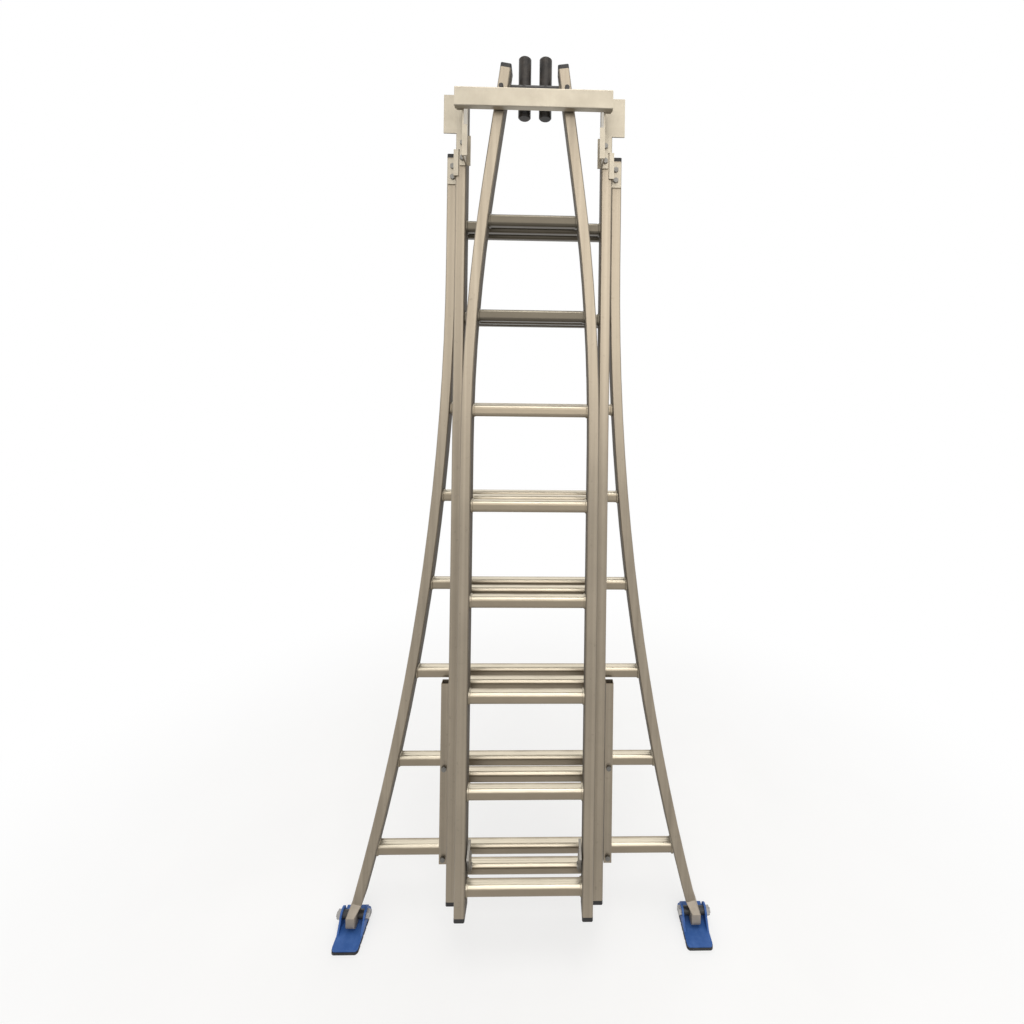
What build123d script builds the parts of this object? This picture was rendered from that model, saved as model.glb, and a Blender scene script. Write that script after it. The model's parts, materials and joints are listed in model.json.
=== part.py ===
import os
from math import cos, radians, sin, sqrt, tan

from build123d import *

os.makedirs("parts", exist_ok=True)

# Rungs shared by the three sections
rung_pitch = 250.0
rung_count = 8
first_rung_z = 213.0
rung_height = 30.0
rung_depth = 30.0
rung_corner = 10.0
rung_wall = 2.0
rung_fit = 0.05
rung_bore_chamfer = 5.0

# Stile tubes shared by the three sections
stile_width = 28.0
stile_depth = 50.0
base_wall = 3.4
middle_wall = 1.8
top_wall = 1.6
stile_edge = 2.5

# Guide plates and the running clearance that spaces the sections
guide_plate = 4.0
guide_clearance = 1.0
guide_lip = 8.0
guide_bolt_drop = 20.0

# Lateral nesting of the stiles
top_half = 165.5
top_nest_gap = 4.0
base_nest_gap = 7.0

# Tube ends, below the lowest rung and above the highest one, and the head above the middle tubes
middle_overhang = 72.0
top_overhang = 54.0
base_head = 206.0
middle_head = 337.0
head_rise = 55.0

# Outward bow of the base stiles, from this far below the highest rung
bow_drop = 92.0
bow_radius = 6930.0

# Inward taper of the top stiles, from this far below the highest rung
taper_drop = 590.0
taper_radius = 4900.0
taper_angle = 8.0

# Plastic end caps
cap_flange = 11.0
cap_plug = 22.0
cap_fit = 0.1
ankle_fit = 0.35

# Base guides
base_guide_drop = 76.0
base_guide_height = 70.0
guide_edge = 2.0

# Yoke on the middle section
yoke_guide_lift = 28.0
yoke_guide_height = 80.0
yoke_drop = 13.0
stop_gap = 0.5
crossbar_height = 48.0
crossbar_depth = 20.0
crossbar_overhang = 2.5
crossbar_wall = 2.0
crossbar_corner = 3.0
yoke_tab = 15.0
tab_bolt_inset = 12.0
lateral_gap = 3.0
wing_gap = 38.0
wing_rise = 10.0

# Lower guide rails on the base rungs
rail_width = 22.0
rail_depth = 20.0
rail_wall = 2.0
rail_inset = 3.0
rail_overhang = 16.0
rail_top_gap = 1.0
rail_rungs = 2

# Fasteners
bolt_radius = 4.0
bolt_head_radius = 7.5
bolt_head_height = 5.3
bolt_grip = 12.0
bolt_fit = 0.05

# Rung locks
lock_thickness = 6.0
lock_standoff = 3.5
lock_running = 0.3
lock_pivot_y = 13.0
lock_pivot_z = 42.0
lock_boss = 13.0
lock_collar = 9.0
lock_axle = 5.0
lock_axle_fit = 0.05
lock_axle_reach = 12.0
lock_head = 8.0
lock_head_height = 3.0
lock_seat_gap = 1.0
lock_nose_gap = 2.0
lock_nose = 10.0
lock_hook_depth = 18.0
lock_arm = 22.0
lock_retract = 130.0

# Head rung, wall buffers and stop pins
head_rung_drop = 50.0
buffer_offset = 28.0
buffer_radius = 17.0
buffer_length = 162.0
buffer_lift = 28.0
buffer_edge = 3.0
buffer_seat = 2.0
stop_pin_radius = 6.0
stop_pin_reach = 22.0
stop_pin_grip = 10.0

# Swivel feet
pivot_z = 34.0
ankle_lead = 10.0
tongue_width = 24.0
tongue_half_depth = 18.0
tongue_heel = 12.0
tongue_toe = 12.0
tongue_neck = 20.0
ankle_rise = 42.0
ankle_plug = 60.0
foot_bolt_radius = 6.0
foot_bolt_fit = 0.05
foot_bolt_head = 11.0
foot_bolt_head_height = 7.5
foot_nut_height = 10.0
foot_thread = 3.0
ear_gap = 30.0
ear_thickness = 5.0
ear_radius = 17.0
ear_root = 34.0
side_running = 0.3
sole_thickness = 7.0
sole_rim = 1.0
shoe_plate = 5.0
shoe_toe = 66.0
shoe_heel = 40.0
shoe_corner = 8.0
heel_stop_gap = 0.3
heel_stop_depth = 10.0
heel_stop_drop = 5.0
tread_count = 5
tread_width = 6.0
tread_depth = 3.0
spacer_radius = 10.0

# Derived layout
section_step = stile_depth + guide_plate + guide_clearance
middle_half = top_half + stile_width + top_nest_gap
base_half = middle_half + stile_width + base_nest_gap
front_reach = 2 * section_step + stile_depth / 2 + guide_clearance + guide_plate + crossbar_depth
rear_reach = shoe_heel + sole_rim - ankle_lead
base_y = (front_reach - rear_reach) / 2
middle_y = base_y - section_step
top_y = middle_y - section_step
foot_y = base_y - ankle_lead
top_outer = top_half + stile_width / 2
top_inner = top_half - stile_width / 2
middle_outer = middle_half + stile_width / 2
middle_inner = middle_half - stile_width / 2
base_outer = base_half + stile_width / 2
rung_z = [first_rung_z + rung_pitch * k for k in range(rung_count)]
middle_foot_z = rung_z[0] - middle_overhang
top_foot_z = rung_z[0] - top_overhang
base_top_z = rung_z[-1] + base_head
middle_top_z = rung_z[-1] + middle_head
head_top_z = middle_top_z + head_rise
head_rung_z = head_top_z - head_rung_drop
base_foot_z = pivot_z + ankle_rise
tongue_neck_z = pivot_z + tongue_neck
base_guide_z = base_top_z - base_guide_drop
yoke_guide_z = base_guide_z + yoke_guide_lift
yoke_top_z = middle_top_z - yoke_drop
rail_foot_z = rung_z[0] - rail_overhang
bow_start_z = rung_z[-1] - bow_drop
taper_start_z = rung_z[-1] - taper_drop
taper_rise = taper_radius * sin(radians(taper_angle))
taper_inset = taper_radius * (1 - cos(radians(taper_angle)))
taper_end_z = taper_start_z + taper_rise
sides = {"right": 1, "left": -1}


def base_x(z):
    drop = max(bow_start_z - z, 0.0)
    return base_half + bow_radius - sqrt(bow_radius**2 - drop**2)


def top_x(z):
    if z <= taper_start_z:
        return top_half
    if z <= taper_end_z:
        rise = z - taper_start_z
        return top_half - taper_radius + sqrt(taper_radius**2 - rise**2)
    return top_half - taper_inset - (z - taper_end_z) * tan(radians(taper_angle))


def stile_outline():
    add(tube_outline.sketch)


def stile_profile(wall):
    stile_outline()
    Rectangle(stile_depth - 2 * wall, stile_width - 2 * wall, mode=Mode.SUBTRACT)


def plug_profile(wall, fit):
    Rectangle(stile_depth - 2 * wall - 2 * fit, stile_width - 2 * wall - 2 * fit)


def rung_profile():
    RectangleRounded(rung_depth, rung_height, rung_corner)
    add(rung_bore.sketch, mode=Mode.SUBTRACT)


def rung_hole():
    add(rung_opening.sketch)


def save(part, label):
    part.label = label
    export_step(part, f"parts/{label}.step")


# Outline of the stile tubes, with their eased edges
with BuildSketch() as tube_outline:
    Rectangle(stile_depth, stile_width)
    chamfer(tube_outline.vertices(), stile_edge)

# Eight-sided bore of a rung and the stile opening that its rounded outline fills
opening_chamfer = (2 - sqrt(2)) * rung_corner
with BuildSketch() as rung_bore:
    Rectangle(rung_depth - 2 * rung_wall, rung_height - 2 * rung_wall)
    chamfer(rung_bore.vertices(), rung_bore_chamfer)
with BuildSketch() as rung_opening:
    Rectangle(rung_depth + 2 * rung_fit, rung_height + 2 * rung_fit)
    chamfer(rung_opening.vertices(), opening_chamfer)

# Bolt places, right side, as (x, z)
base_guide_bolt_x = base_half - rail_inset
base_guide_bolts = [
    (base_guide_bolt_x, base_guide_z + guide_bolt_drop),
    (base_guide_bolt_x, base_guide_z + base_guide_height - guide_bolt_drop),
]
rail_x = base_half - rail_inset
rail_bolts = [(rail_x, z) for z in rung_z[:rail_rungs]]
flange_x = middle_outer - guide_lip - lateral_gap
yoke_web_x = top_outer + guide_clearance
yoke_bolt_x = (yoke_web_x + guide_plate + flange_x) / 2
yoke_bolts = [
    (yoke_bolt_x, yoke_guide_z + guide_bolt_drop),
    (yoke_bolt_x, yoke_guide_z + yoke_guide_height - guide_bolt_drop),
]
tab_outer = yoke_web_x + guide_plate + yoke_tab
tab_bolt_x = tab_outer - yoke_tab / 2
tab_bolts = [
    (tab_bolt_x, yoke_top_z - crossbar_height + tab_bolt_inset),
    (tab_bolt_x, yoke_top_z - tab_bolt_inset),
]
lock_z = first_rung_z + lock_pivot_z
pin_z = yoke_top_z + stop_gap + stop_pin_radius

# Base stile, straight above and bowed outward below
base_foot_x = base_x(base_foot_z)
bow_middle_z = (bow_start_z + base_foot_z) / 2
with BuildPart() as base_stile_right:
    with BuildLine() as base_path:
        ThreePointArc(
            (base_foot_x, base_y, base_foot_z),
            (base_x(bow_middle_z), base_y, bow_middle_z),
            (base_half, base_y, bow_start_z),
        )
        Line((base_half, base_y, bow_start_z), (base_half, base_y, base_top_z))
    with BuildSketch(Plane(base_path.line @ 0, x_dir=(0, 1, 0), z_dir=base_path.line % 0)):
        stile_profile(base_wall)
    sweep(path=base_path.line)
    for z in rung_z:
        with BuildSketch(Plane.YZ.offset(base_x(z) - stile_width)):
            with Locations((base_y, z)):
                rung_hole()
        extrude(amount=stile_width, mode=Mode.SUBTRACT)
    with BuildSketch(Plane.XZ.offset(stile_depth / 2 - base_y)):
        with Locations(*base_guide_bolts):
            Circle(bolt_radius + bolt_fit)
    extrude(amount=-stile_depth / 2, mode=Mode.SUBTRACT)
base_leg_tangent = base_path.line % 0
save(base_stile_right.part, "base_stile_right")

with BuildPart() as base_stile_left:
    mirror(base_stile_right.part, about=Plane.YZ)
save(base_stile_left.part, "base_stile_left")

# Base rungs, each one as long as the bow needs
for k, z in enumerate(rung_z):
    with BuildPart() as base_rung:
        with BuildSketch(Plane.YZ):
            with Locations((base_y, z)):
                rung_profile()
        extrude(amount=base_x(z) - rung_fit, both=True)
        if k < rail_rungs:
            with BuildSketch(Plane.XZ.offset(rung_depth / 2 - base_y)):
                with Locations((rail_x, z), (-rail_x, z)):
                    Circle(bolt_radius + bolt_fit)
            extrude(amount=-rung_depth / 2, mode=Mode.SUBTRACT)
    save(base_rung.part, f"base_rung_{k + 1}")

# Base top end caps
with BuildPart() as base_end_caps:
    for side in sides.values():
        with BuildSketch(Plane((side * base_half, base_y, base_top_z), x_dir=(0, 1, 0))):
            stile_outline()
        extrude(amount=cap_flange)
        with BuildSketch(Plane((side * base_half, base_y, base_top_z), x_dir=(0, 1, 0))):
            plug_profile(base_wall, cap_fit)
        extrude(amount=-cap_plug)
save(base_end_caps.part, "base_end_caps")

# Base guides, bent plates that hold the middle stiles at three faces
lip_x = middle_outer - guide_lip
web_x = middle_outer + guide_clearance
guide_rear_y = base_y - stile_depth / 2
guide_front_y = middle_y - stile_depth / 2 - guide_clearance - guide_plate
with BuildPart() as base_guide_right:
    with BuildSketch(Plane.XY.offset(base_guide_z)):
        with BuildLine():
            Polyline(
                (lip_x, guide_front_y),
                (web_x + guide_plate, guide_front_y),
                (web_x + guide_plate, guide_rear_y - guide_plate),
                (base_outer - guide_edge, guide_rear_y - guide_plate),
                (base_outer - guide_edge, guide_rear_y),
                (lip_x, guide_rear_y),
                (lip_x, guide_rear_y - guide_plate),
                (web_x, guide_rear_y - guide_plate),
                (web_x, guide_front_y + guide_plate),
                (lip_x, guide_front_y + guide_plate),
                close=True,
            )
        make_face()
    extrude(amount=base_guide_height)
    with BuildSketch(Plane.XZ.offset(-guide_rear_y)):
        with Locations(*base_guide_bolts):
            Circle(bolt_radius + bolt_fit)
    extrude(amount=guide_plate, mode=Mode.SUBTRACT)
save(base_guide_right.part, "base_guide_right")

with BuildPart() as base_guide_left:
    mirror(base_guide_right.part, about=Plane.YZ)
save(base_guide_left.part, "base_guide_left")

# Lower guide rails, square tubes bolted across the lowest rungs
rail_rear_y = base_y - rung_depth / 2
rail_top_z = rung_z[rail_rungs] - rung_height / 2 - rail_top_gap
with BuildPart() as lower_rail_right:
    with BuildSketch(Plane.XY.offset(rail_foot_z)):
        with Locations((rail_x, rail_rear_y - rail_depth / 2)):
            Rectangle(rail_width, rail_depth)
            Rectangle(rail_width - 2 * rail_wall, rail_depth - 2 * rail_wall, mode=Mode.SUBTRACT)
    extrude(amount=rail_top_z - rail_foot_z)
    with BuildSketch(Plane.XZ.offset(-rail_rear_y)):
        with Locations(*rail_bolts):
            Circle(bolt_radius + bolt_fit)
    extrude(amount=rail_depth, mode=Mode.SUBTRACT)
save(lower_rail_right.part, "lower_rail_right")

with BuildPart() as lower_rail_left:
    mirror(lower_rail_right.part, about=Plane.YZ)
save(lower_rail_left.part, "lower_rail_left")

# Base bolts for the guides and the rails
base_bolt_seats = [(x, guide_rear_y - guide_plate, z) for x, z in base_guide_bolts]
base_bolt_seats += [(x, rail_rear_y - rail_depth, z) for x, z in rail_bolts]
base_bolt_grips = [guide_plate + bolt_grip for _ in base_guide_bolts]
base_bolt_grips += [rail_depth + bolt_grip for _ in rail_bolts]
with BuildPart() as base_bolts:
    for seat, grip in zip(base_bolt_seats, base_bolt_grips):
        for side in sides.values():
            with BuildSketch(Plane((side * seat[0], seat[1], seat[2]), z_dir=(0, -1, 0))):
                RegularPolygon(bolt_head_radius, 6)
            extrude(amount=bolt_head_height)
            with BuildSketch(Plane((side * seat[0], seat[1], seat[2]), z_dir=(0, 1, 0))):
                Circle(bolt_radius)
            extrude(amount=grip)
save(base_bolts.part, "base_bolts")

# Ankles, castings plugged into the bowed stiles and ending in an upright tongue set forward
foot_x = base_x(pivot_z)
tongue_y = foot_y - tongue_toe / 2
tongue_depth = 2 * tongue_half_depth + tongue_toe
ankle_plane = Plane(
    (base_foot_x, base_y, base_foot_z),
    x_dir=(0, 1, 0),
    z_dir=base_leg_tangent,
)
with BuildPart() as ankle_right:
    with BuildSketch(ankle_plane):
        stile_outline()
    with BuildSketch(Plane((foot_x, tongue_y, tongue_neck_z), x_dir=(0, 1, 0), z_dir=(0, 0, 1))) as neck:
        Rectangle(tongue_depth, tongue_width)
        chamfer(neck.vertices(), stile_edge)
    loft(ruled=True)
    with BuildSketch(ankle_plane):
        plug_profile(base_wall, ankle_fit)
    extrude(amount=ankle_plug)
    with BuildSketch(Plane.YZ.offset(foot_x - tongue_width / 2)):
        with Locations((tongue_y, pivot_z)):
            SlotCenterToCenter(tongue_toe, 2 * tongue_half_depth)
        with Locations((tongue_y, (pivot_z + tongue_neck_z) / 2)):
            Rectangle(tongue_depth, tongue_neck_z - pivot_z)
        with Locations((foot_y + tongue_half_depth / 2, pivot_z - tongue_heel / 2)):
            Rectangle(tongue_half_depth, tongue_heel)
    extrude(amount=tongue_width)
    with BuildSketch(Plane.YZ.offset(foot_x - tongue_width / 2)):
        with Locations((foot_y, pivot_z)):
            Circle(foot_bolt_radius + foot_bolt_fit)
    extrude(amount=tongue_width, mode=Mode.SUBTRACT)
save(ankle_right.part, "ankle_right")

with BuildPart() as ankle_left:
    mirror(ankle_right.part, about=Plane.YZ)
save(ankle_left.part, "ankle_left")

# Shoes, moulded channels that swing on the ankles
shoe_half = ear_gap + ear_thickness
shoe_length = shoe_toe + shoe_heel
shoe_y = foot_y + (shoe_heel - shoe_toe) / 2
shoe_top_z = sole_thickness + shoe_plate
with BuildPart() as shoe_right:
    with BuildSketch(Plane.XY.offset(sole_thickness)):
        with Locations((foot_x, shoe_y)):
            RectangleRounded(2 * shoe_half, shoe_length, shoe_corner)
    extrude(amount=shoe_plate)
    with BuildSketch(Plane.YZ.offset(foot_x - shoe_half)):
        with Locations((foot_y, pivot_z)):
            Circle(ear_radius)
        with BuildLine():
            Polyline(
                (foot_y - ear_root, shoe_top_z),
                (foot_y - ear_radius, pivot_z),
                (foot_y + ear_radius, pivot_z),
                (foot_y + ear_root, shoe_top_z),
                close=True,
            )
        make_face()
    extrude(amount=2 * shoe_half)
    with BuildSketch(Plane.YZ.offset(foot_x - ear_gap)):
        with Locations((foot_y, (shoe_top_z + pivot_z + ear_radius) / 2)):
            Rectangle(2 * ear_root, pivot_z + ear_radius - shoe_top_z)
    extrude(amount=2 * ear_gap, mode=Mode.SUBTRACT)
    with BuildSketch(Plane.XY.offset(shoe_top_z)):
        with Locations((foot_x, foot_y + tongue_half_depth + heel_stop_gap + heel_stop_depth / 2)):
            Rectangle(2 * ear_gap, heel_stop_depth)
    extrude(amount=pivot_z - heel_stop_drop - shoe_top_z)
    with BuildSketch(Plane.YZ.offset(foot_x - shoe_half)):
        with Locations((foot_y, pivot_z)):
            Circle(foot_bolt_radius + foot_bolt_fit)
    extrude(amount=2 * shoe_half, mode=Mode.SUBTRACT)
save(shoe_right.part, "shoe_right")

with BuildPart() as shoe_left:
    mirror(shoe_right.part, about=Plane.YZ)
save(shoe_left.part, "shoe_left")

# Rubber soles with cross treads
tread_pitch = shoe_length / tread_count
with BuildPart() as sole_right:
    with BuildSketch():
        with Locations((foot_x, shoe_y)):
            RectangleRounded(
                2 * shoe_half + 2 * sole_rim, shoe_length + 2 * sole_rim, shoe_corner + sole_rim
            )
    extrude(amount=sole_thickness)
    with BuildSketch():
        with Locations((foot_x, shoe_y)):
            with GridLocations(0, tread_pitch, 1, tread_count - 1):
                Rectangle(2 * (shoe_half + sole_rim) + tread_width, tread_width)
    extrude(amount=tread_depth, mode=Mode.SUBTRACT)
save(sole_right.part, "sole_right")

with BuildPart() as sole_left:
    mirror(sole_right.part, about=Plane.YZ)
save(sole_left.part, "sole_left")

# Foot pivot sets, bolt and nut with a spacer at each side of the ankle
spacer_inner = tongue_width / 2 + side_running
with BuildPart() as foot_pivot_right:
    with BuildSketch(Plane.YZ.offset(foot_x - shoe_half)):
        with Locations((foot_y, pivot_z)):
            RegularPolygon(foot_bolt_head, 6)
    extrude(amount=-foot_bolt_head_height)
    with BuildSketch(Plane.YZ.offset(foot_x - shoe_half)):
        with Locations((foot_y, pivot_z)):
            Circle(foot_bolt_radius)
    extrude(amount=2 * shoe_half + foot_nut_height + foot_thread)
with BuildPart() as foot_nut_right:
    with BuildSketch(Plane.YZ.offset(foot_x + shoe_half)):
        with Locations((foot_y, pivot_z)):
            RegularPolygon(foot_bolt_head, 6)
            Circle(foot_bolt_radius + foot_bolt_fit, mode=Mode.SUBTRACT)
    extrude(amount=foot_nut_height)
with BuildPart() as foot_spacers_right:
    for start in (spacer_inner, -ear_gap):
        with BuildSketch(Plane.YZ.offset(foot_x + start)):
            with Locations((foot_y, pivot_z)):
                Circle(spacer_radius)
                Circle(foot_bolt_radius + foot_bolt_fit, mode=Mode.SUBTRACT)
        extrude(amount=ear_gap - spacer_inner)
foot_set = [foot_pivot_right.part.solid(), foot_nut_right.part.solid()]
foot_set += list(foot_spacers_right.part.solids())
foot_set_right = Compound(children=[Solid(s.wrapped) for s in foot_set])
save(foot_set_right, "foot_pivot_right")

foot_set_left = Compound(children=[Solid(mirror(s, about=Plane.YZ).wrapped) for s in foot_set])
save(foot_set_left, "foot_pivot_left")

# Middle stiles, straight tubes
with BuildPart() as middle_stile_right:
    with BuildSketch(Plane((middle_half, middle_y, middle_foot_z), x_dir=(0, 1, 0), z_dir=(0, 0, 1))):
        stile_profile(middle_wall)
    extrude(amount=middle_top_z - middle_foot_z)
    with BuildSketch(Plane.YZ.offset(middle_half - stile_width)):
        with Locations(*[(middle_y, z) for z in rung_z]):
            rung_hole()
        with Locations((middle_y + lock_pivot_y, lock_z)):
            Circle(lock_axle + lock_axle_fit)
    extrude(amount=stile_width, mode=Mode.SUBTRACT)
    with BuildSketch(Plane.XZ.offset(stile_depth / 2 - middle_y)):
        with Locations(*yoke_bolts):
            Circle(bolt_radius + bolt_fit)
    extrude(amount=-stile_depth / 2, mode=Mode.SUBTRACT)
save(middle_stile_right.part, "middle_stile_right")

with BuildPart() as middle_stile_left:
    mirror(middle_stile_right.part, about=Plane.YZ)
save(middle_stile_left.part, "middle_stile_left")

# Middle rungs
for k, z in enumerate(rung_z):
    with BuildPart() as middle_rung:
        with BuildSketch(Plane.YZ):
            with Locations((middle_y, z)):
                rung_profile()
        extrude(amount=middle_half - rung_fit, both=True)
    save(middle_rung.part, f"middle_rung_{k + 1}")

# Middle end caps, top and bottom
with BuildPart() as middle_end_caps:
    for end_z, out in ((middle_top_z, 1), (middle_foot_z, -1)):
        for side in sides.values():
            with BuildSketch(Plane((side * middle_half, middle_y, end_z), x_dir=(0, 1, 0))):
                stile_outline()
            extrude(amount=out * cap_flange)
            with BuildSketch(Plane((side * middle_half, middle_y, end_z), x_dir=(0, 1, 0))):
                plug_profile(middle_wall, cap_fit)
            extrude(amount=-out * cap_plug)
save(middle_end_caps.part, "middle_end_caps")

# Yoke brackets, guide the top stiles and carry the crossbar in front of them
yoke_lip_x = top_outer - guide_lip
yoke_rear_y = middle_y - stile_depth / 2
yoke_front_y = top_y - stile_depth / 2 - guide_clearance - guide_plate
shoulder_z = base_guide_z + base_guide_height + stop_gap
shoulder_x = middle_outer - guide_edge
wing_x = base_outer - guide_edge
wing_foot_z = base_top_z + wing_gap
wing_top_z = middle_top_z + wing_rise
tab_z = yoke_top_z - crossbar_height
with BuildPart() as yoke_bracket_right:
    with BuildSketch(Plane.XY.offset(yoke_guide_z)):
        with BuildLine():
            Polyline(
                (yoke_lip_x, yoke_front_y),
                (yoke_web_x + guide_plate, yoke_front_y),
                (yoke_web_x + guide_plate, yoke_rear_y - guide_plate),
                (flange_x, yoke_rear_y - guide_plate),
                (flange_x, yoke_rear_y),
                (yoke_lip_x, yoke_rear_y),
                (yoke_lip_x, yoke_rear_y - guide_plate),
                (yoke_web_x, yoke_rear_y - guide_plate),
                (yoke_web_x, yoke_front_y + guide_plate),
                (yoke_lip_x, yoke_front_y + guide_plate),
                close=True,
            )
        make_face()
    extrude(amount=yoke_guide_height)
    with BuildSketch(Plane.XZ.offset(-yoke_rear_y)):
        with BuildLine():
            Polyline(
                (yoke_web_x, shoulder_z),
                (shoulder_x, shoulder_z),
                (shoulder_x, wing_foot_z),
                (wing_x, wing_foot_z),
                (wing_x, wing_top_z),
                (yoke_web_x, wing_top_z),
                close=True,
            )
        make_face()
    extrude(amount=guide_plate)
    with BuildSketch(Plane.YZ.offset(yoke_web_x)):
        with BuildLine():
            Polyline(
                (yoke_front_y, yoke_guide_z + yoke_guide_height),
                (yoke_rear_y, yoke_guide_z + yoke_guide_height),
                (yoke_front_y + crossbar_height, yoke_top_z),
                (yoke_front_y, yoke_top_z),
                close=True,
            )
        make_face()
    extrude(amount=guide_plate)
    with BuildSketch(Plane.XZ.offset(-yoke_front_y - guide_plate)):
        with Locations((yoke_web_x + (guide_plate + yoke_tab) / 2, tab_z + crossbar_height / 2)):
            Rectangle(guide_plate + yoke_tab, crossbar_height)
        with Locations(*tab_bolts):
            Circle(bolt_radius + bolt_fit, mode=Mode.SUBTRACT)
    extrude(amount=guide_plate)
    with BuildSketch(Plane.XZ.offset(-yoke_rear_y)):
        with Locations(*yoke_bolts):
            Circle(bolt_radius + bolt_fit)
    extrude(amount=guide_plate, mode=Mode.SUBTRACT)
save(yoke_bracket_right.part, "yoke_bracket_right")

with BuildPart() as yoke_bracket_left:
    mirror(yoke_bracket_right.part, about=Plane.YZ)
save(yoke_bracket_left.part, "yoke_bracket_left")

# Yoke crossbar, a box tube across the front of the top section
with BuildPart() as yoke_crossbar:
    with BuildSketch(Plane.YZ):
        with Locations((yoke_front_y - crossbar_depth / 2, tab_z + crossbar_height / 2)):
            RectangleRounded(crossbar_depth, crossbar_height, crossbar_corner)
            Rectangle(
                crossbar_depth - 2 * crossbar_wall,
                crossbar_height - 2 * crossbar_wall,
                mode=Mode.SUBTRACT,
            )
    extrude(amount=tab_outer + crossbar_overhang, both=True)
    with BuildSketch(Plane.XZ.offset(-yoke_front_y)):
        with Locations(*tab_bolts):
            Circle(bolt_radius + bolt_fit)
        with Locations(*[(-x, z) for x, z in tab_bolts]):
            Circle(bolt_radius + bolt_fit)
    extrude(amount=crossbar_depth / 2, mode=Mode.SUBTRACT)
save(yoke_crossbar.part, "yoke_crossbar")

# Yoke bolts, into the middle stiles and into the back of the crossbar
with BuildPart() as yoke_bolt_group:
    for side in sides.values():
        for x, z in yoke_bolts:
            with BuildSketch(Plane((side * x, yoke_rear_y - guide_plate, z), z_dir=(0, -1, 0))):
                RegularPolygon(bolt_head_radius, 6)
            extrude(amount=bolt_head_height)
            with BuildSketch(Plane((side * x, yoke_rear_y - guide_plate, z), z_dir=(0, 1, 0))):
                Circle(bolt_radius)
            extrude(amount=guide_plate + bolt_grip)
        for x, z in tab_bolts:
            with BuildSketch(Plane((side * x, yoke_front_y + guide_plate, z), z_dir=(0, 1, 0))):
                RegularPolygon(bolt_head_radius, 6)
            extrude(amount=bolt_head_height)
            with BuildSketch(Plane((side * x, yoke_front_y + guide_plate, z), z_dir=(0, -1, 0))):
                Circle(bolt_radius)
            extrude(amount=guide_plate + bolt_grip)
save(yoke_bolt_group.part, "yoke_bolts")

# Top stiles, parallel below and tapered inward above
head_x = top_x(head_top_z)
taper_mid_z = taper_start_z + taper_radius * sin(radians(taper_angle / 2))
with BuildPart() as top_stile_right:
    with BuildLine() as top_path:
        Line((top_half, top_y, top_foot_z), (top_half, top_y, taper_start_z))
        ThreePointArc(
            (top_half, top_y, taper_start_z),
            (top_x(taper_mid_z), top_y, taper_mid_z),
            (top_half - taper_inset, top_y, taper_end_z),
        )
        Line((top_half - taper_inset, top_y, taper_end_z), (head_x, top_y, head_top_z))
    with BuildSketch(Plane((top_half, top_y, top_foot_z), x_dir=(0, 1, 0), z_dir=(0, 0, 1))):
        stile_profile(top_wall)
    sweep(path=top_path.line)
    for z in rung_z + [head_rung_z]:
        with BuildSketch(Plane.YZ.offset(top_x(z) - stile_width)):
            with Locations((top_y, z)):
                rung_hole()
        extrude(amount=stile_width, mode=Mode.SUBTRACT)
    with BuildSketch(Plane.YZ.offset(top_half - stile_width)):
        with Locations((top_y + lock_pivot_y, lock_z)):
            Circle(lock_axle + lock_axle_fit)
    extrude(amount=stile_width, mode=Mode.SUBTRACT)
    with BuildSketch(Plane.XZ.offset(stile_depth / 2 - top_y)):
        with Locations((top_x(pin_z), pin_z)):
            Circle(stop_pin_radius + bolt_fit)
    extrude(amount=-stile_depth / 2, mode=Mode.SUBTRACT)
save(top_stile_right.part, "top_stile_right")

with BuildPart() as top_stile_left:
    mirror(top_stile_right.part, about=Plane.YZ)
save(top_stile_left.part, "top_stile_left")

# Top rungs and the head rung that carries the wall buffers
top_rung_names = [f"top_rung_{k + 1}" for k in range(rung_count)] + ["head_rung"]
for name, z in zip(top_rung_names, rung_z + [head_rung_z]):
    with BuildPart() as top_rung:
        with BuildSketch(Plane.YZ):
            with Locations((top_y, z)):
                rung_profile()
        extrude(amount=top_x(z) - rung_fit, both=True)
        if name == "head_rung":
            with BuildSketch(Plane.XZ.offset(rung_depth / 2 - top_y)):
                with Locations((buffer_offset, z), (-buffer_offset, z)):
                    Circle(bolt_radius + bolt_fit)
            extrude(amount=-rung_depth, mode=Mode.SUBTRACT)
    save(top_rung.part, name)

# Top end caps, square at the foot and tilted with the taper at the head
head_plane_right = Plane(
    (head_x, top_y, head_top_z),
    x_dir=(0, 1, 0),
    z_dir=(-sin(radians(taper_angle)), 0, cos(radians(taper_angle))),
)
head_plane_left = Plane(
    (-head_x, top_y, head_top_z),
    x_dir=(0, 1, 0),
    z_dir=(sin(radians(taper_angle)), 0, cos(radians(taper_angle))),
)
foot_plane_right = Plane((top_half, top_y, top_foot_z), x_dir=(0, 1, 0), z_dir=(0, 0, -1))
foot_plane_left = Plane((-top_half, top_y, top_foot_z), x_dir=(0, 1, 0), z_dir=(0, 0, -1))
with BuildPart() as top_end_caps:
    for cap_plane in (head_plane_right, head_plane_left, foot_plane_right, foot_plane_left):
        with BuildSketch(cap_plane):
            stile_outline()
        extrude(amount=cap_flange)
        with BuildSketch(cap_plane):
            plug_profile(top_wall, cap_fit)
        extrude(amount=-cap_plug)
save(top_end_caps.part, "top_end_caps")

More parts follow.
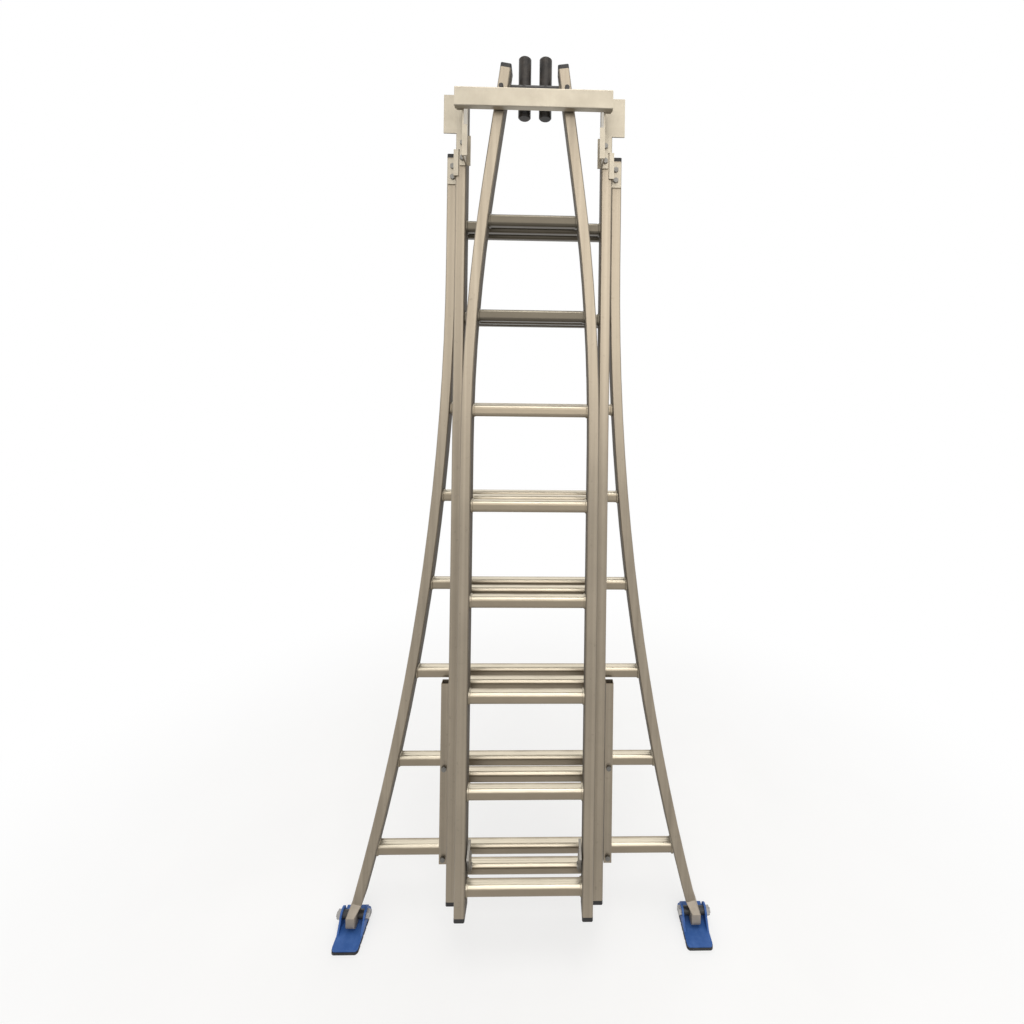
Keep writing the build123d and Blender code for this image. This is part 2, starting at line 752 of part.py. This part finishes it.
# Wall buffers, upright rubber cylinders behind the head rung
buffer_y = top_y + rung_depth / 2 + buffer_radius - buffer_seat
for name, side in sides.items():
    with BuildPart() as wall_buffer:
        with BuildSketch(Plane.XY.offset(head_rung_z + buffer_lift - buffer_length / 2)):
            with Locations((side * buffer_offset, buffer_y)):
                Circle(buffer_radius)
        extrude(amount=buffer_length)
        chamfer(wall_buffer.edges().filter_by(GeomType.CIRCLE), buffer_edge)
        with BuildSketch(Plane.XZ.offset(-top_y)):
            with Locations((side * buffer_offset, head_rung_z)):
                Rectangle(2 * buffer_radius, rung_height + 2 * rung_fit)
        extrude(amount=-rung_depth / 2, mode=Mode.SUBTRACT)
        with BuildSketch(Plane.XZ.offset(-top_y)):
            with Locations((side * buffer_offset, head_rung_z)):
                Circle(bolt_radius + bolt_fit)
        extrude(amount=-rung_depth / 2 - buffer_radius, mode=Mode.SUBTRACT)
    save(wall_buffer.part, f"wall_buffer_{name}")

# Buffer bolts, through the head rung into the buffers
with BuildPart() as buffer_bolts:
    for side in sides.values():
        seat = (side * buffer_offset, top_y - rung_depth / 2, head_rung_z)
        with BuildSketch(Plane(seat, z_dir=(0, -1, 0))):
            RegularPolygon(bolt_head_radius, 6)
        extrude(amount=bolt_head_height)
        with BuildSketch(Plane(seat, z_dir=(0, 1, 0))):
            Circle(bolt_radius)
        extrude(amount=rung_depth + buffer_radius - buffer_seat)
save(buffer_bolts.part, "buffer_bolts")

# Stop pins, rest on the crossbar when the top section is down
with BuildPart() as stop_pins:
    for side in sides.values():
        pin_plane = Plane((side * top_x(pin_z), top_y - stile_depth / 2, pin_z), z_dir=(0, -1, 0))
        with BuildSketch(pin_plane):
            Circle(stop_pin_radius)
        extrude(amount=stop_pin_reach)
        with BuildSketch(pin_plane):
            Circle(stop_pin_radius)
        extrude(amount=-stop_pin_grip)
save(stop_pins.part, "stop_pins")

# Rung locks, hooks that swing back over a rung of the section behind
lock_places = {
    "top_lock": (top_inner, top_y),
    "middle_lock": (middle_inner, middle_y),
}
seat_z = rung_height / 2 + lock_seat_gap - lock_pivot_z
nose_y = section_step + rung_depth / 2 + lock_nose_gap - lock_pivot_y
swing = radians(lock_retract)
for name, (face_x, plane_y) in lock_places.items():
    pivot_y = plane_y + lock_pivot_y
    outer_x = face_x - lock_standoff
    with BuildPart() as rung_lock_right:
        lock_plane = Plane(
            (outer_x - lock_thickness, pivot_y, lock_z),
            x_dir=(0, cos(swing), sin(swing)),
            z_dir=(1, 0, 0),
        )
        with BuildSketch(lock_plane):
            Circle(lock_boss)
            with BuildLine():
                Polyline(
                    (0, lock_boss),
                    (nose_y + lock_nose, seat_z + lock_arm),
                    (nose_y + lock_nose, seat_z - lock_hook_depth),
                    (nose_y, seat_z - lock_hook_depth),
                    (nose_y, seat_z),
                    (lock_boss, seat_z),
                    (-lock_boss, 0),
                    close=True,
                )
            make_face()
        extrude(amount=lock_thickness)
        with BuildSketch(Plane.YZ.offset(outer_x)):
            with Locations((pivot_y, lock_z)):
                Circle(lock_collar)
        extrude(amount=lock_standoff - lock_running)
        with BuildSketch(Plane.YZ.offset(outer_x - lock_thickness)):
            with Locations((pivot_y, lock_z)):
                Circle(lock_head)
        extrude(amount=-lock_head_height)
        with BuildSketch(Plane.YZ.offset(outer_x)):
            with Locations((pivot_y, lock_z)):
                Circle(lock_axle)
        extrude(amount=lock_standoff + lock_axle_reach)
    save(rung_lock_right.part, f"{name}_right")
    with BuildPart() as rung_lock_left:
        mirror(rung_lock_right.part, about=Plane.YZ)
    save(rung_lock_left.part, f"{name}_left")
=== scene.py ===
import json
from functools import partial
from math import cos, pi, sin

import bmesh
import bpy
from mathutils import Matrix, Vector


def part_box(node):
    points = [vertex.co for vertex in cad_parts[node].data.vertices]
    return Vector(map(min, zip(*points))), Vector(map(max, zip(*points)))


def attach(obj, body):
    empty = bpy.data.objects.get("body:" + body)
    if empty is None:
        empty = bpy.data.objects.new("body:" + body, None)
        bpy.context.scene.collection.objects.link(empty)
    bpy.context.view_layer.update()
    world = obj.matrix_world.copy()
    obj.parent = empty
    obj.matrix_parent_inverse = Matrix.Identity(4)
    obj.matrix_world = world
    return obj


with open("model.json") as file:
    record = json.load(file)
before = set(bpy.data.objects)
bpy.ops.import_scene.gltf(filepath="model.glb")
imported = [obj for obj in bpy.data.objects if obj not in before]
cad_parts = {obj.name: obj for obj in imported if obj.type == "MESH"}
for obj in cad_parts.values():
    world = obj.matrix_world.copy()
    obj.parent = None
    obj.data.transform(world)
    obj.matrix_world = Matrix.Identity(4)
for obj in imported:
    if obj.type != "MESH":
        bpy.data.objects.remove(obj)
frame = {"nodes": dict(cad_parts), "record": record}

scene = bpy.context.scene
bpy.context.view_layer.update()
nodes = frame["nodes"]

# Rungs of each section, by the body that carries them
rung_count = 8
section_rungs = {
    body: [f"{body}_rung_{k + 1}" for k in range(rung_count)]
    for body in ("base", "middle", "top")
}

# Rung details, lengths in metres
rung_corner = 0.010
corner_steps = 6
stile_half_width = 0.014
collar_length = 0.005
collar_height = 0.0022
collar_bevel = 0.0008
rib_count = 3
rib_pitch = 0.0064
rib_width = 0.0046
rib_height = 0.00025
rib_sink = 0.0001
rib_end_gap = 0.003

# The sections stand one step apart in depth, each rung in the middle of its step
top_low, top_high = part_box("top_rung_1")
middle_low, middle_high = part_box("middle_rung_1")
top_rung_y = (top_low.y + top_high.y) / 2
section_step = (middle_low.y + middle_high.y) / 2 - top_rung_y

# Shoes wear the treads from the front to just behind a rung's middle, with a soft, uneven edge;
# the painted light on the treads keeps to the same place
tread_reach = 0.001
tread_fade_length = 0.007
tread_edge_wander = 0.003

# Rungs up to the first height keep their full tones; above the second they take painted shade,
# fronts and treads darker
shade_start_height = 1.52
shade_full_height = 1.66

# Nylon spacers on the foot bolts reach this far from the foot's middle
spacer_reach = 0.0302

# Camera, from the photograph's 1024 pixel frame
image_size = 1024
focal_pixels = 464.9
principal_x = 557.0
principal_y = 382.0
sensor_width_mm = 36.0
camera_place = Vector((0.0426, -1.2738, 1.5355))
camera_yaw = 0.0215
camera_pitch = -0.0042
camera_roll = -0.0131
nearest_seen = 0.05
farthest_seen = 100.0

# Studio
floor_half = 30.0
floor_drop = 0.0005
floor_lit_radius = 0.7
floor_white_radius = 2.2
floor_lift = 0.60
white = (1.0, 1.0, 1.0, 1.0)
ambient_colour = (1.0, 0.99, 0.97, 1.0)
ambient_strength = 0.58
lamp_colour = (1.0, 0.975, 0.93)

# Softboxes: place, target, width and height in metres, power in watts
softboxes = {
    "overhead": ((0.2, -0.8, 4.6), (0.0, 0.0, 0.8), 2.4, 2.4, 68.0),
    "rear_high": ((0.0, 2.8, 3.6), (0.0, 0.0, 0.7), 3.4, 2.6, 18.0),
    "front_high": ((0.3, -3.0, 2.5), (0.0, 0.0, 2.0), 2.8, 2.8, 54.0),
}


# Node helpers for the materials
class Shader:
    def __init__(self, name):
        self.material = bpy.data.materials.new(name)
        self.material.use_nodes = True
        self.tree = self.material.node_tree
        self.bsdf = self.tree.nodes["Principled BSDF"]
        texture_places = self.tree.nodes.new("ShaderNodeTexCoord")
        self.coords = texture_places.outputs["Object"]
        self.normal = texture_places.outputs["Normal"]

    def link(self, source, target):
        self.tree.links.new(source, target)

    def feed(self, socket, source):
        self.link(source, self.bsdf.inputs[socket])

    def set(self, **values):
        for name, value in values.items():
            self.bsdf.inputs[name.replace("_", " ")].default_value = value

    def noise(self, scale, stretch=(1, 1, 1), detail=4.0, roughness=0.55):
        mapping = self.tree.nodes.new("ShaderNodeMapping")
        mapping.inputs["Scale"].default_value = stretch
        self.link(self.coords, mapping.inputs["Vector"])
        texture = self.tree.nodes.new("ShaderNodeTexNoise")
        texture.inputs["Scale"].default_value = scale
        texture.inputs["Detail"].default_value = detail
        texture.inputs["Roughness"].default_value = roughness
        self.link(mapping.outputs["Vector"], texture.inputs["Vector"])
        return texture.outputs["Fac"]

    def ramp(self, factor, low, high, start=0.30, stop=0.70):
        node = self.tree.nodes.new("ShaderNodeValToRGB")
        stops = zip(node.color_ramp.elements, (start, stop), (low, high))
        for element, place, colour in stops:
            element.position = place
            element.color = (*colour, 1.0)
        self.link(factor, node.inputs["Fac"])
        return node.outputs["Color"]

    def blend(self, mode, first, second):
        node = self.tree.nodes.new("ShaderNodeMix")
        node.data_type = "RGBA"
        node.blend_type = mode
        self.link(first, node.inputs["A"])
        self.link(second, node.inputs["B"])
        return node

    def mix(self, factor, first, second):
        node = self.blend("MIX", first, second)
        self.link(factor, node.inputs["Factor"])
        return node.outputs["Result"]

    def multiply(self, product, *colours):
        for colour in colours:
            node = self.blend("MULTIPLY", product, colour)
            node.inputs["Factor"].default_value = 1.0
            product = node.outputs["Result"]
        return product

    def spread(self, factor, low, high, start=0.0, stop=1.0, interpolation="LINEAR"):
        node = self.tree.nodes.new("ShaderNodeMapRange")
        node.interpolation_type = interpolation
        node.inputs["From Min"].default_value = start
        node.inputs["From Max"].default_value = stop
        node.inputs["To Min"].default_value = low
        node.inputs["To Max"].default_value = high
        self.link(factor, node.inputs["Value"])
        return node.outputs["Result"]

    def component(self, vector, axis):
        node = self.tree.nodes.new("ShaderNodeSeparateXYZ")
        self.link(vector, node.inputs["Vector"])
        return node.outputs[axis]

    def math(self, operation, first, second=0.0):
        node = self.tree.nodes.new("ShaderNodeMath")
        node.operation = operation
        for source, target in zip((first, second), node.inputs):
            if isinstance(source, float):
                target.default_value = source
            else:
                self.link(source, target)
        return node.outputs["Value"]

    def bump(self, height, strength, distance):
        node = self.tree.nodes.new("ShaderNodeBump")
        node.inputs["Strength"].default_value = strength
        node.inputs["Distance"].default_value = distance
        self.link(height, node.inputs["Height"])
        self.feed("Normal", node.outputs["Normal"])


def grey(value):
    return (value, value, value)


def scaled(colour, share):
    return tuple(share * channel for channel in colour)


# Mill-finish stile tube with die lines along it, dull patches, small scuffs and painted shade on
# the inner sides
def stile_metal(name, dark, light, inner_shade):
    shader = Shader(name)
    lines = shader.noise(620.0, stretch=(1.0, 1.0, 0.003), detail=3.0)
    bands = shader.noise(85.0, stretch=(1.0, 1.0, 0.004), detail=2.0)
    patches = shader.noise(6.0, detail=6.0, roughness=0.6)
    scuffs = shader.noise(80.0, detail=8.0, roughness=0.7)
    tone = shader.ramp(bands, dark, light)
    dull = shader.ramp(patches, grey(0.88), grey(1.0), start=0.35, stop=0.65)
    marks = shader.ramp(scuffs, grey(0.78), grey(1.0), start=0.28, stop=0.40)
    # Painted shade: faces that turn inwards, towards the other stile, are darkened by inner_shade
    # and made rougher and less metallic
    side = shader.math("SIGN", shader.component(shader.coords, "X"))
    outward = shader.math("MULTIPLY", shader.component(shader.normal, "X"), side)
    outward_share = shader.spread(outward, 0.0, 1.0, start=-0.9, stop=-0.6)
    inner_side_shade = shader.ramp(outward_share, inner_shade, grey(1.0), start=0.0, stop=1.0)
    patch_roughness = shader.spread(patches, 0.34, 0.50)
    inner_side_roughness = shader.spread(outward_share, 0.30, 0.0)
    shader.feed("Base Color", shader.multiply(tone, dull, marks, inner_side_shade))
    shader.feed("Metallic", shader.spread(outward_share, 0.15, 0.80))
    shader.feed("Roughness", shader.math("ADD", patch_roughness, inner_side_roughness))
    shader.bump(lines, strength=0.12, distance=0.0004)
    return shader.material


# Rung tube: treads lighter than fronts and undersides, partly polished by shoes and partly painted
# light on the upward faces; painted shade darkens the upper rungs
def rung_metal(name, dull_shaded_tone, worn_lit_tone, upper_front_shade, upper_tread_shade):
    shader = Shader(name)
    lines = shader.noise(560.0, stretch=(0.002, 1.0, 1.0), detail=3.0)
    patches = shader.noise(9.0, stretch=(0.6, 1, 1), detail=6.0, roughness=0.6)
    smudges = shader.noise(34.0, stretch=(0.5, 1, 1), detail=5.0, roughness=0.6)

    # Wear and painted light on what faces up, as far back in each section's step as the shoes
    # reach
    upward = shader.component(shader.normal, "Z")
    ragged = shader.math("ADD", upward, shader.spread(smudges, -0.16, 0.16))
    first_step_y = top_rung_y - section_step / 2
    depth = shader.math("SUBTRACT", shader.component(shader.coords, "Y"), first_step_y)
    in_step = shader.math("FLOORED_MODULO", depth, section_step)
    wander = shader.spread(smudges, -tread_edge_wander, tread_edge_wander)
    ragged_depth = shader.math("ADD", in_step, wander)
    wear_end = section_step / 2 + tread_reach
    reached = shader.spread(ragged_depth, 1.0, 0.0, wear_end, wear_end + tread_fade_length)
    wear_and_light = shader.math("MULTIPLY", shader.spread(ragged, 0.0, 1.0, start=0.32, stop=0.80), reached)

    # Painted shade: both tones darken on the upper rungs
    height = shader.component(shader.coords, "Z")
    unshaded_share = shader.spread(height, 1.0, 0.0, shade_start_height, shade_full_height)
    front_height_shade = shader.ramp(unshaded_share, upper_front_shade, grey(1.0), start=0.0, stop=1.0)
    tread_height_shade = shader.ramp(unshaded_share, upper_tread_shade, grey(1.0), start=0.0, stop=1.0)
    dull = shader.multiply(shader.ramp(patches, scaled(dull_shaded_tone, 0.86), dull_shaded_tone), front_height_shade)
    worn = shader.multiply(shader.ramp(patches, scaled(worn_lit_tone, 0.90), worn_lit_tone), tread_height_shade)
    # Upward faces take the lighter worn tone and fronts and undersides the darker dull one: partly
    # wear, partly painted light and painted shade
    shader.feed("Base Color", shader.mix(wear_and_light, dull, worn))
    shader.feed("Roughness", shader.spread(smudges, 0.30, 0.44))
    shader.bump(lines, strength=0.04, distance=0.0003)
    shader.set(Metallic=0.85)
    return shader.material


# Rolled plate of the brackets, brushed one way with a faint grain
def plate(name, dark, light):
    shader = Shader(name)
    grain = shader.noise(420.0, stretch=(1.0, 1.0, 0.05))
    patches = shader.noise(14.0, detail=6.0, roughness=0.6)
    shader.feed("Base Color", shader.ramp(patches, dark, light, stop=0.72))
    shader.feed("Roughness", shader.spread(grain, 0.34, 0.52))
    shader.bump(grain, strength=0.15, distance=0.0003)
    shader.set(Metallic=0.85)
    return shader.material


# Sand-cast metal, matt with a pebbled skin
def casting(name, dark, light):
    shader = Shader(name)
    pebbles = shader.noise(700.0, detail=5.0, roughness=0.7)
    patches = shader.noise(40.0)
    shader.feed("Base Color", shader.ramp(patches, dark, light))
    shader.feed("Roughness", shader.spread(pebbles, 0.50, 0.72))
    shader.bump(pebbles, strength=0.35, distance=0.0006)
    shader.set(Metallic=0.70)
    return shader.material


# Zinc plate with a slight warm bloom and dull spots
def zinc(name, dark, light, roughness):
    shader = Shader(name)
    bloom = shader.noise(180.0, detail=5.0, roughness=0.6)
    spots = shader.noise(900.0, detail=3.0)
    shader.feed("Base Color", shader.ramp(bloom, dark, light))
    shader.feed("Roughness", shader.spread(spots, roughness - 0.06, roughness + 0.12))
    shader.bump(spots, strength=0.10, distance=0.0002)
    shader.set(Metallic=0.95)
    return shader.material


# Moulded plastic or rubber: fine skin texture, dust in patches and paler rubbed places
def moulded(name, colour, worn, roughness, grain_scale, grain_strength):
    shader = Shader(name)
    skin = shader.noise(grain_scale, detail=3.0)
    patches = shader.noise(32.0, detail=7.0, roughness=0.65)
    shader.feed("Base Color", shader.ramp(patches, colour, worn, start=0.38, stop=0.74))
    shader.feed("Roughness", shader.spread(patches, roughness - 0.06, roughness + 0.12))
    shader.bump(skin, strength=grain_strength, distance=0.0005)
    shader.set(Specular_IOR_Level=0.30)
    return shader.material


# Foot pivot set: zinc bolt and nut outside the ears, and spacers between them painted near black
# as the shade in the gap between the ears
def pivot_set(name, dark, light, spacer_shade, centre_x):
    shader = Shader(name)
    bloom = shader.noise(180.0, detail=5.0, roughness=0.6)
    spots = shader.noise(900.0, detail=3.0)
    side = shader.math("ABSOLUTE", shader.component(shader.coords, "X"))
    offset = shader.math("ABSOLUTE", shader.math("SUBTRACT", side, centre_x))
    outside = shader.math("GREATER_THAN", offset, spacer_reach)
    metal = shader.ramp(bloom, dark, light)
    # Painted shade: the spacers between the ears are near black and not metallic
    shaded_spacer = shader.ramp(spots, spacer_shade, scaled(spacer_shade, 1.6))
    shader.feed("Base Color", shader.mix(outside, shaded_spacer, metal))
    shader.feed("Metallic", shader.spread(outside, 0.0, 0.95))
    shader.feed("Roughness", shader.spread(spots, 0.34, 0.48))
    shader.bump(spots, strength=0.10, distance=0.0002)
    return shader.material


# Finish of each material slot: the function that makes it and what that takes after the name
slot_finishes = {
    # Stile: dark and light tones of the metal, then the painted shade colour of the inner sides
    "stile_aluminium": (
        stile_metal, (0.275, 0.234, 0.179), (0.355, 0.304, 0.235), (0.28, 0.262, 0.238)
    ),
    # Rung: dull front tone partly painted shade, worn tread tone partly painted light, then the
    # painted shade of the upper rungs' fronts and treads
    "rung_aluminium": (
        rung_metal, (0.285, 0.240, 0.177), (0.650, 0.588, 0.470), (0.35, 0.36, 0.37), grey(0.55)
    ),
    "bracket_aluminium": (plate, (0.31, 0.277, 0.221), (0.39, 0.351, 0.283)),
    "cast_aluminium": (casting, (0.32, 0.280, 0.230), (0.41, 0.360, 0.300)),
    "zinc_steel": (zinc, (0.14, 0.135, 0.125), (0.21, 0.203, 0.19), 0.40),
    "lock_steel": (zinc, (0.17, 0.16, 0.145), (0.24, 0.228, 0.21), 0.42),
    "cap_plastic": (moulded, (0.012, 0.012, 0.013), (0.035, 0.034, 0.033), 0.48, 900.0, 0.20),
    "buffer_rubber": (moulded, (0.010, 0.008, 0.007), (0.050, 0.040, 0.032), 0.38, 700.0, 0.18),
    "head_black": (moulded, (0.014, 0.013, 0.013), (0.040, 0.037, 0.035), 0.50, 500.0, 0.15),
    "shoe_blue": (moulded, (0.026, 0.092, 0.310), (0.062, 0.150, 0.410), 0.46, 800.0, 0.20),
    "sole_rubber": (moulded, (0.016, 0.016, 0.018), (0.050, 0.049, 0.048), 0.66, 600.0, 0.30),
}
materials = {slot: make(slot, *values) for slot, (make, *values) in slot_finishes.items()}

# Foot pivots are one node each, so their two finishes are told apart by place
sole_low, sole_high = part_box("sole_right")
foot_x = (sole_low.x + sole_high.x) / 2
# The last colour is the painted shade of the spacers between the ears
foot_pivot_finish = pivot_set(
    "foot_pivot_set", (0.26, 0.25, 0.24), (0.36, 0.35, 0.34), (0.012, 0.012, 0.013), foot_x
)
blackened = zinc("blackened_steel", (0.030, 0.029, 0.028), (0.060, 0.058, 0.056), 0.45)
node_finishes = {
    "foot_pivot_left": foot_pivot_finish,
    "foot_pivot_right": foot_pivot_finish,
    "buffer_bolts": blackened,
    "stop_pins": blackened,
}

# The CAD nodes take their slot's material, or their own finish
for subpart in frame["record"]["subparts"]:
    cad_object = nodes[subpart["node"]]
    finish = node_finishes.get(subpart["node"], materials[subpart["material_slot"]])
    cad_object.data.materials.clear()
    cad_object.data.materials.append(finish)


def add_object(name, mesh_builder, material):
    mesh = bpy.data.meshes.new(name)
    mesh_builder.to_mesh(mesh)
    mesh_builder.free()
    mesh.materials.append(material)
    added = bpy.data.objects.new(name, mesh)
    scene.collection.objects.link(added)
    return added


def add_piece(name, mesh_builder, body, slot):
    bmesh.ops.recalc_face_normals(mesh_builder, faces=mesh_builder.faces)
    piece = add_object(name, mesh_builder, materials[slot])
    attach(piece, body)


# Points of a rounded rectangle in the YZ plane, outset from the rung's own outline
def rung_outline(centre_y, centre_z, half_y, half_z, outset):
    radius = rung_corner + outset
    points = []
    for corner, (sy, sz) in enumerate(((1, 1), (-1, 1), (-1, -1), (1, -1))):
        for step in range(corner_steps + 1):
            angle = (corner + step / corner_steps) * pi / 2
            y = centre_y + sy * (half_y - rung_corner) + radius * cos(angle)
            z = centre_z + sz * (half_z - rung_corner) + radius * sin(angle)
            points.append((y, z))
    return points


# Quads between two rings of vertices
def bridge(builder, ring, following):
    for i in range(len(ring)):
        j = (i + 1) % len(ring)
        builder.faces.new((ring[i], ring[j], following[j], following[i]))


# Swage collar round a rung, pressed up against the stile's inner face
def add_collar(builder, outline_at, face_x, side):
    stations = [
        (0.0, 0.0),
        (0.0, collar_height),
        (collar_length - collar_bevel, collar_height),
        (collar_length, collar_height - collar_bevel),
        (collar_length, 0.0),
    ]
    rings = []
    for along, outset in stations:
        x = face_x - side * along
        rings.append([builder.verts.new((x, y, z)) for y, z in outline_at(outset)])
    for ring, following in zip(rings, rings[1:] + rings[:1]):
        bridge(builder, ring, following)


# Raised tread ribs along the top of a rung
def add_ribs(builder, centre_y, top_z, reach):
    for k in range(rib_count):
        rib_y = centre_y + (k - (rib_count - 1) / 2) * rib_pitch
        section = [
            (rib_y - rib_width / 2, top_z - rib_sink),
            (rib_y - rib_width / 4, top_z + rib_height),
            (rib_y + rib_width / 4, top_z + rib_height),
            (rib_y + rib_width / 2, top_z - rib_sink),
        ]
        ends = []
        for x in (-reach, reach):
            ends.append([builder.verts.new((x, y, z)) for y, z in section])
        bridge(builder, *ends)
        for end in ends:
            builder.faces.new(end)


for body, rungs in section_rungs.items():
    collars = bmesh.new()
    ribs = bmesh.new()
    for rung in rungs + (["head_rung"] if body == "top" else []):
        low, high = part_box(rung)
        centre_y = (low.y + high.y) / 2
        centre_z = (low.z + high.z) / 2
        half_y = (high.y - low.y) / 2
        half_z = (high.z - low.z) / 2
        face_x = high.x - stile_half_width
        outline_at = partial(rung_outline, centre_y, centre_z, half_y, half_z)
        for side in (1, -1):
            add_collar(collars, outline_at, side * face_x, side)
        if rung != "head_rung":
            add_ribs(ribs, centre_y, high.z, face_x - collar_length - rib_end_gap)
    add_piece(f"{body}_rung_collars", collars, body, "rung_aluminium")
    add_piece(f"{body}_rung_ribs", ribs, body, "rung_aluminium")


# One for camera, glossy and transmission rays, nought for the rays that light the object
def seen_ray(tree):
    path = tree.nodes.new("ShaderNodeLightPath")
    total = path.outputs["Is Camera Ray"]
    for name in ("Is Glossy Ray", "Is Transmission Ray"):
        add = tree.nodes.new("ShaderNodeMath")
        add.operation = "ADD"
        add.use_clamp = True
        tree.links.new(total, add.inputs[0])
        tree.links.new(path.outputs[name], add.inputs[1])
        total = add.outputs["Value"]
    return total


# Joins two shaders by a share of the second and sends them to the tree's output
def join_shaders(tree, share, first, second, output):
    blend = tree.nodes.new("ShaderNodeMixShader")
    tree.links.new(share, blend.inputs["Fac"])
    tree.links.new(first, blend.inputs[1])
    tree.links.new(second, blend.inputs[2])
    tree.links.new(blend.outputs["Shader"], tree.nodes[output].inputs["Surface"])


# Pale floor: it takes the ladder's shadow near the feet and turns plain white farther out
def studio_floor(name):
    shader = Shader(name)
    speckle = shader.noise(3.0, detail=3.0)
    shader.feed("Base Color", shader.ramp(speckle, grey(0.84), grey(0.88)))
    shader.set(Roughness=0.95, Specular_IOR_Level=0.0)
    length = shader.tree.nodes.new("ShaderNodeVectorMath")
    length.operation = "LENGTH"
    shader.link(shader.coords, length.inputs[0])
    distance = length.outputs["Value"]
    fade = shader.spread(
        distance, floor_lift, 1.0, floor_lit_radius, floor_white_radius, "SMOOTHSTEP"
    )
    share = shader.math("MULTIPLY", fade, seen_ray(shader.tree))
    glow = shader.tree.nodes.new("ShaderNodeEmission")
    glow.inputs["Color"].default_value = white
    join_shaders(
        shader.tree, share, shader.bsdf.outputs["BSDF"], glow.outputs["Emission"],
        "Material Output",
    )
    return shader.material


floor_mesh = bmesh.new()
bmesh.ops.create_grid(floor_mesh, x_segments=1, y_segments=1, size=floor_half)
floor = add_object("floor", floor_mesh, studio_floor("studio_floor"))
floor.location.z = -floor_drop


# World: white where it is seen or reflected, softer where it lights
def studio_world():
    world = bpy.data.worlds.new("studio")
    scene.world = world
    world.use_nodes = True
    tree = world.node_tree
    ambient = tree.nodes["Background"]
    ambient.inputs["Color"].default_value = ambient_colour
    ambient.inputs["Strength"].default_value = ambient_strength
    backdrop = tree.nodes.new("ShaderNodeBackground")
    backdrop.inputs["Color"].default_value = white
    backdrop.inputs["Strength"].default_value = 1.0
    join_shaders(
        tree, seen_ray(tree), ambient.outputs["Background"], backdrop.outputs["Background"],
        "World Output",
    )


studio_world()


# Softbox: a large area lamp that the camera does not see
def add_softbox(name, place, target, width, height, power):
    light = bpy.data.lights.new(name, "AREA")
    light.shape = "RECTANGLE"
    light.size = width
    light.size_y = height
    light.energy = power
    light.color = lamp_colour
    lamp = bpy.data.objects.new(name, light)
    lamp.location = place
    aim = Vector(target) - Vector(place)
    lamp.rotation_euler = aim.to_track_quat("-Z", "Y").to_euler()
    lamp.visible_camera = False
    scene.collection.objects.link(lamp)


for name, values in softboxes.items():
    add_softbox(name, *values)


# Camera at the place that was fitted to the photograph
def place_camera():
    data = bpy.data.cameras.new("camera")
    data.sensor_fit = "HORIZONTAL"
    data.sensor_width = sensor_width_mm
    data.lens = focal_pixels * sensor_width_mm / image_size
    data.shift_x = (image_size / 2 - principal_x) / image_size
    data.shift_y = (principal_y - image_size / 2) / image_size
    data.clip_start = nearest_seen
    data.clip_end = farthest_seen
    forward = Vector((
        sin(camera_yaw) * cos(camera_pitch),
        cos(camera_yaw) * cos(camera_pitch),
        -sin(camera_pitch),
    ))
    right = Vector((cos(camera_yaw), -sin(camera_yaw), 0.0))
    down = forward.cross(right)
    rolled_right = cos(camera_roll) * right + sin(camera_roll) * down
    rolled_down = cos(camera_roll) * down - sin(camera_roll) * right
    turn = Matrix((rolled_right, -rolled_down, -forward)).transposed()
    camera = bpy.data.objects.new("camera", data)
    camera.matrix_world = Matrix.Translation(camera_place) @ turn.to_4x4()
    scene.collection.objects.link(camera)
    scene.camera = camera


place_camera()
scene.view_settings.view_transform = "Standard"
